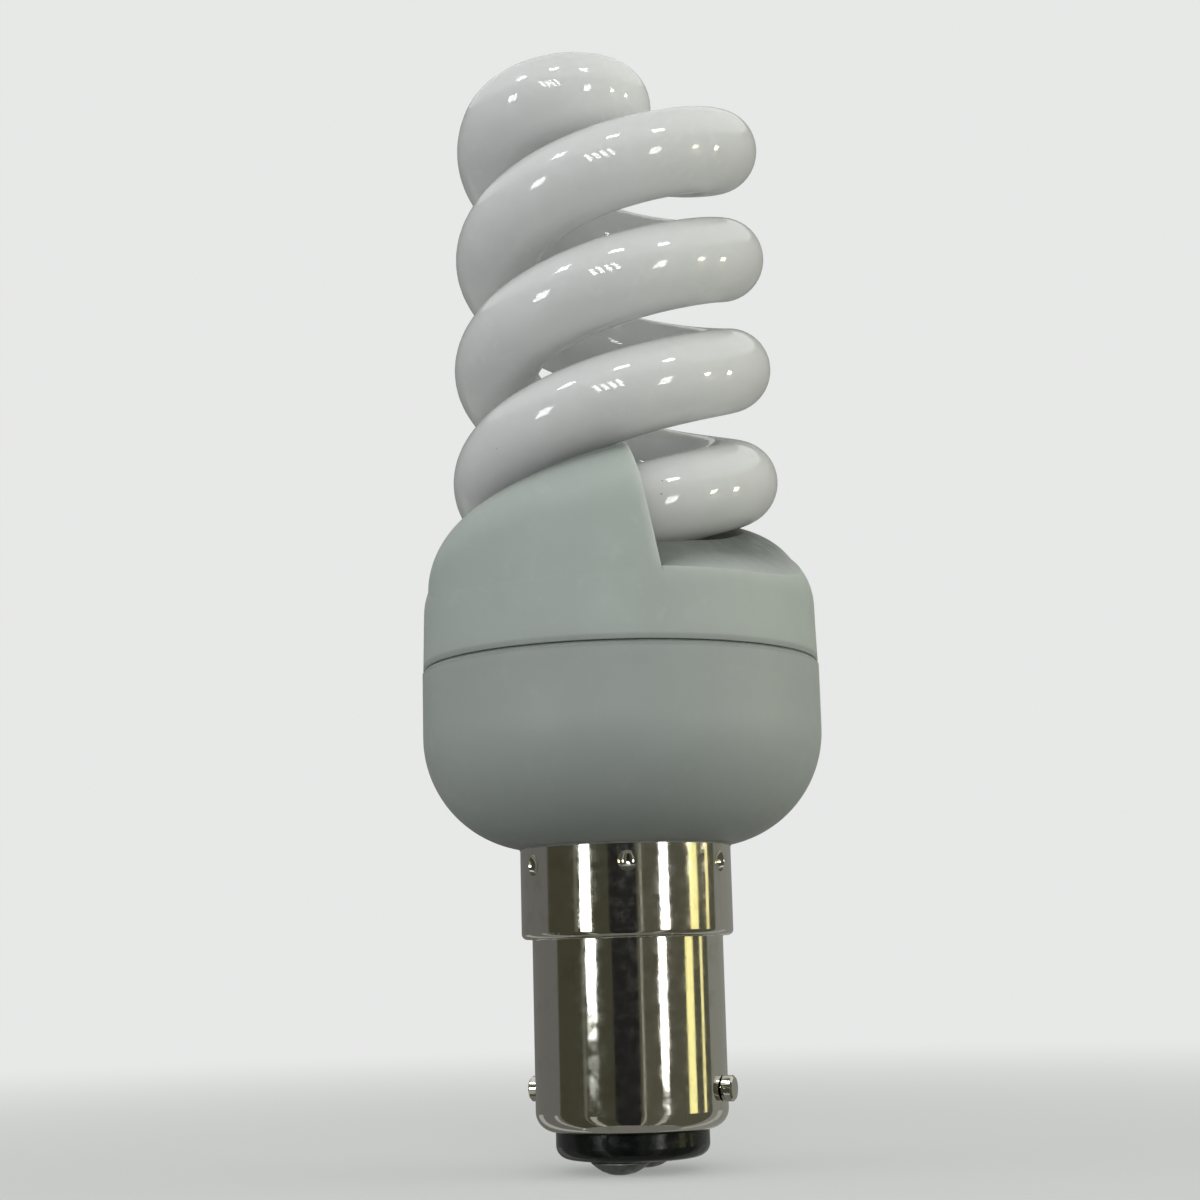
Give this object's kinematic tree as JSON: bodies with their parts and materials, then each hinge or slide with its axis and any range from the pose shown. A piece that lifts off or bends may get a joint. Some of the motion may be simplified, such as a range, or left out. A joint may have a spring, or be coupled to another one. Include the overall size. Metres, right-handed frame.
{
  "type": "spiral energy saving bulb",
  "caption": "Compact fluorescent lamp: a glass tube coiled in a double helix, a plastic ballast housing with hooded tube sockets, and a small bayonet cap.",
  "frame": {"origin": "on the lamp's axis, at the level of the lowest points of the two solder contacts", "axes": "+Z along the lamp's axis from the contacts to the top of the spiral, +X through the right bayonet pin, -Y over the front contact"},
  "size_m": [0.0322, 0.0322, 0.091],
  "materials": {
    "phosphor_glass": "glossy glass, opaque white from the powder coating inside",
    "white_plastic": "satin moulded plastic, off-white",
    "cement": "dull white cement",
    "nickel": "bright nickel plate with fine scratches",
    "black_glass": "glossy opaque black glass",
    "brass": "satin",
    "solder": "dull grey tin solder",
    "board": "paper and resin board",
    "capacitor_sleeve": "shrunk sleeve",
    "ferrite": "dull sintered ferrite",
    "bobbin_plastic": "moulded",
    "copper": "enamelled copper wire",
    "black_resin": "moulded resin",
    "film_resin": "dipped resin",
    "resistor_lacquer": "lacquer",
    "diac_glass": "lacquered glass",
    "steel": "tinned",
    "lead_wire": "tinned wire"
  },
  "bodies": {
    "root": {"spiral_tube": "phosphor_glass", "upper_cover": "white_plastic", "lower_housing": "white_plastic", "tube_cement_front": "cement", "tube_cement_rear": "cement", "cap_shell": "nickel", "bayonet_pin_right": "nickel", "bayonet_pin_left": "nickel", "cap_insulator": "black_glass", "contact_plate_front": "brass", "contact_plate_rear": "brass", "contact_solder_front": "solder", "contact_solder_rear": "solder", "circuit_board": "board", "smoothing_capacitor": "capacitor_sleeve", "choke_core": "ferrite", "choke_bobbin": "bobbin_plastic", "choke_winding": "copper", "drive_ring": "ferrite", "drive_windings": "copper", "transistor_first": "black_resin", "transistor_second": "black_resin", "resonant_capacitor": "film_resin", "blocking_capacitor": "film_resin", "rectifier_diodes": "black_resin", "resistors": "resistor_lacquer", "trigger_diac": "diac_glass", "fuse_resistor": "resistor_lacquer", "wrap_pins": "steel", "filament_wires": "lead_wire", "supply_wire_front": "lead_wire", "supply_wire_rear": "lead_wire"}
  },
  "joints": []
}
